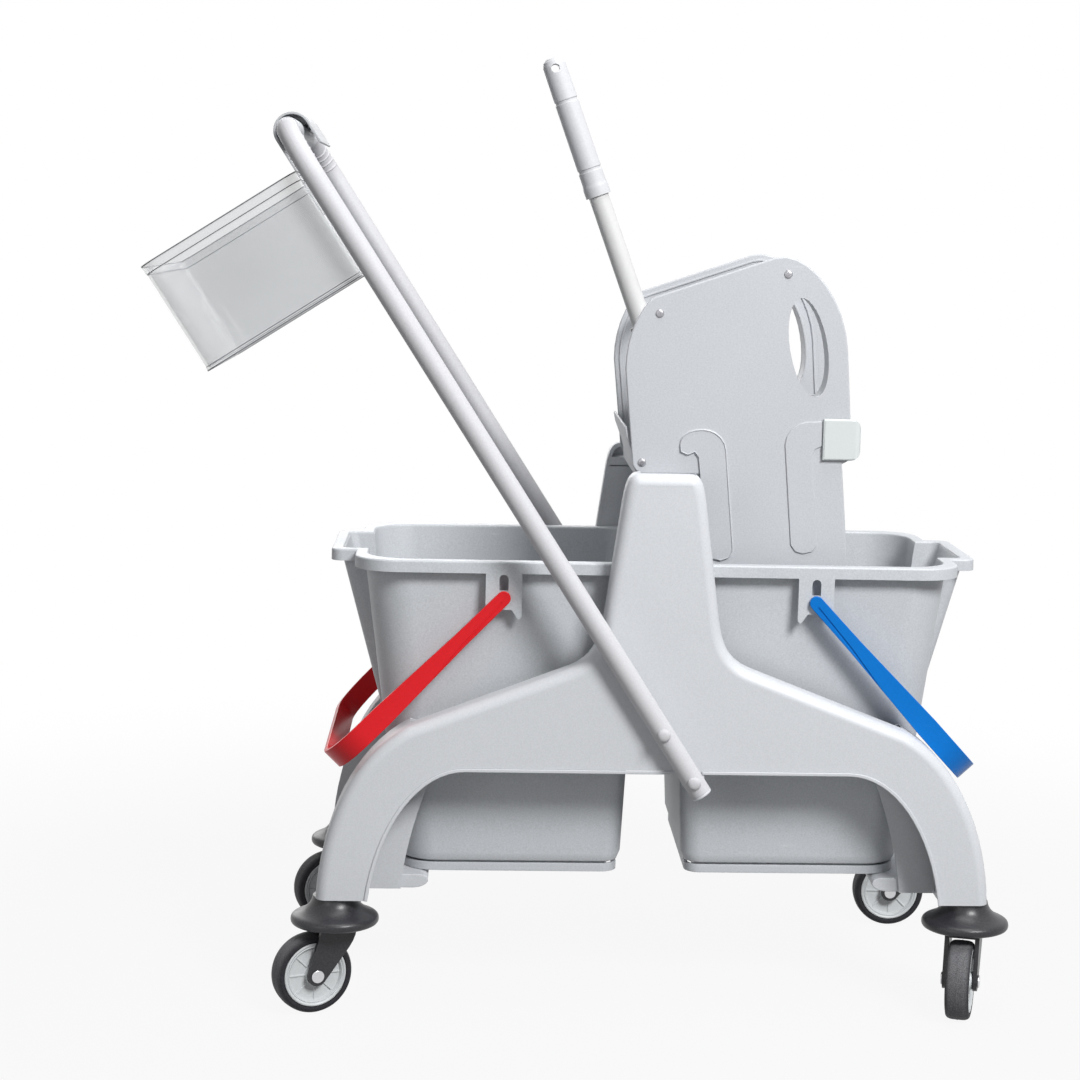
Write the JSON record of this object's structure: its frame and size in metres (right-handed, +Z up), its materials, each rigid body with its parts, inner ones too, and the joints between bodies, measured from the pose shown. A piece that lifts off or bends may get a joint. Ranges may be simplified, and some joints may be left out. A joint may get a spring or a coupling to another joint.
{
  "type": "double mop bucket trolley",
  "caption": "Wheeled cleaning trolley: lift-out mop buckets side by side, a lever wringer over one of them, a leaning push handle and a storage box.",
  "frame": {"origin": "on the floor under the middle of the bounding box", "axes": "+X toward the wringer end, +Y toward the far side, +Z up"},
  "size_m": [0.874, 0.4248, 0.9582],
  "materials": {
    "grey_plastic": "smooth light grey moulding",
    "hub_plastic": "smooth pale grey moulding",
    "dark_plastic": "fine grained dark grey moulding",
    "tyre_rubber": "dull dark grey rubber",
    "bright_steel": "zinc plated",
    "handle_steel": "satin silver tube",
    "lever_paint": "white powder coat",
    "dark_iron": "dark painted casting",
    "smoke_plastic": "frosted smoke grey",
    "clip_plastic": "smooth greenish white moulding",
    "red_plastic": "glossy red moulding",
    "blue_plastic": "glossy blue moulding"
  },
  "bodies": {
    "chassis": {"side_frame_near": "grey_plastic", "side_frame_far": "grey_plastic", "centre_wall": "grey_plastic", "deck_rail_red": "grey_plastic", "deck_rail_blue": "grey_plastic", "bumper_discs": "dark_plastic", "push_handle": "handle_steel", "handle_bolts": "bright_steel", "handle_plugs": "grey_plastic", "handle_grip": "grey_plastic"},
    "storage": {"storage_box": "smoke_plastic", "box_hooks": "grey_plastic"},
    "red_bucket": {"bucket_red": "grey_plastic"},
    "red_bail": {"bail_red": "red_plastic"},
    "blue_bucket": {"bucket_blue": "grey_plastic"},
    "blue_bail": {"bail_blue": "blue_plastic"},
    "wringer": {"wringer_plate_near": "grey_plastic", "wringer_plate_far": "grey_plastic", "wringer_feet": "grey_plastic", "tie_bars": "bright_steel", "wringer_screws": "bright_steel", "edge_clips": "clip_plastic", "fixed_jaw": "grey_plastic", "sieve_floor": "grey_plastic", "lever_shaft": "bright_steel", "jaw_pin": "bright_steel"},
    "jaw": {"moving_jaw": "grey_plastic"},
    "lever": {"lever_tube": "lever_paint", "lever_grip": "grey_plastic", "lever_yoke": "dark_iron", "push_roller": "bright_steel"},
    "caster_nl": {"fork_nl": "dark_plastic", "stem_nl": "bright_steel", "axle_nl": "bright_steel"},
    "wheel_nl": {"hub_nl": "hub_plastic", "tyre_nl": "tyre_rubber"},
    "caster_nr": {"fork_nr": "dark_plastic", "stem_nr": "bright_steel", "axle_nr": "bright_steel"},
    "wheel_nr": {"hub_nr": "hub_plastic", "tyre_nr": "tyre_rubber"},
    "caster_fl": {"fork_fl": "dark_plastic", "stem_fl": "bright_steel", "axle_fl": "bright_steel"},
    "wheel_fl": {"hub_fl": "hub_plastic", "tyre_fl": "tyre_rubber"},
    "caster_fr": {"fork_fr": "dark_plastic", "stem_fr": "bright_steel", "axle_fr": "bright_steel"},
    "wheel_fr": {"hub_fr": "hub_plastic", "tyre_fr": "tyre_rubber"}
  },
  "joints": [
    {"name": "box_lift", "type": "slide", "parent": "chassis", "child": "storage", "axis": [-0.5446, 0, 0.8387], "range_m": [0, 0.12]},
    {"name": "red_lift", "type": "slide", "parent": "chassis", "child": "red_bucket", "axis": [-0.3, 0, 0.9539], "range_m": [0, 0.2]},
    {"name": "red_bail_swing", "type": "hinge", "parent": "red_bucket", "child": "red_bail", "pos_m": [-0.08152, 0.00643, 0.418], "axis": [0, 1, 0], "range_deg": [0, 135]},
    {"name": "blue_lift", "type": "slide", "parent": "chassis", "child": "blue_bucket", "axis": [0, 0, 1], "range_m": [0, 0.25]},
    {"name": "blue_bail_swing", "type": "hinge", "parent": "blue_bucket", "child": "blue_bail", "pos_m": [0.23048, 0.00643, 0.418], "axis": [0, -1, 0], "range_deg": [0, 115]},
    {"name": "wringer_lift", "type": "slide", "parent": "blue_bucket", "child": "wringer", "axis": [0, 0, 1], "range_m": [0, 0.3]},
    {"name": "lever_pull", "type": "hinge", "parent": "wringer", "child": "lever", "pos_m": [0.08198, 0.00643, 0.625], "axis": [0, -1, 0], "range_deg": [0, 38], "stiffness_Nm_per_rad": 1.2, "springref_deg": -28.65},
    {"name": "jaw_press", "type": "hinge", "parent": "wringer", "child": "jaw", "pos_m": [0.13448, 0.00643, 0.44], "axis": [0, 1, 0], "range_deg": [0, 20.5]},
    {"name": "swivel_nl", "type": "hinge", "parent": "chassis", "child": "caster_nl", "pos_m": [-0.24402, -0.14957, 0], "axis": [0, 0, 1], "continuous": true},
    {"name": "roll_nl", "type": "hinge", "parent": "caster_nl", "child": "wheel_nl", "pos_m": [-0.26595, -0.15933, 0.04], "axis": [0.4067, -0.9135, 0], "continuous": true},
    {"name": "swivel_nr", "type": "hinge", "parent": "chassis", "child": "caster_nr", "pos_m": [0.39298, -0.14957, 0], "axis": [0, 0, 1], "continuous": true},
    {"name": "roll_nr", "type": "hinge", "parent": "caster_nr", "child": "wheel_nr", "pos_m": [0.38596, -0.17252, 0.04], "axis": [0.9563, -0.2924, 0], "continuous": true},
    {"name": "swivel_fl", "type": "hinge", "parent": "chassis", "child": "caster_fl", "pos_m": [-0.24402, 0.16243, 0], "axis": [0, 0, 1], "continuous": true},
    {"name": "roll_fl", "type": "hinge", "parent": "caster_fl", "child": "wheel_fl", "pos_m": [-0.26658, 0.15423, 0.04], "axis": [0.342, -0.9397, 0], "continuous": true},
    {"name": "swivel_fr", "type": "hinge", "parent": "chassis", "child": "caster_fr", "pos_m": [0.39298, 0.16243, 0], "axis": [0, 0, 1], "continuous": true},
    {"name": "roll_fr", "type": "hinge", "parent": "caster_fr", "child": "wheel_fr", "pos_m": [0.36898, 0.16243, 0.04], "axis": [0, -1, 0], "continuous": true}
  ],
  "couplings": [
    {"joint": "jaw_press", "follows": "lever_pull", "ratio": 0.53}
  ]
}
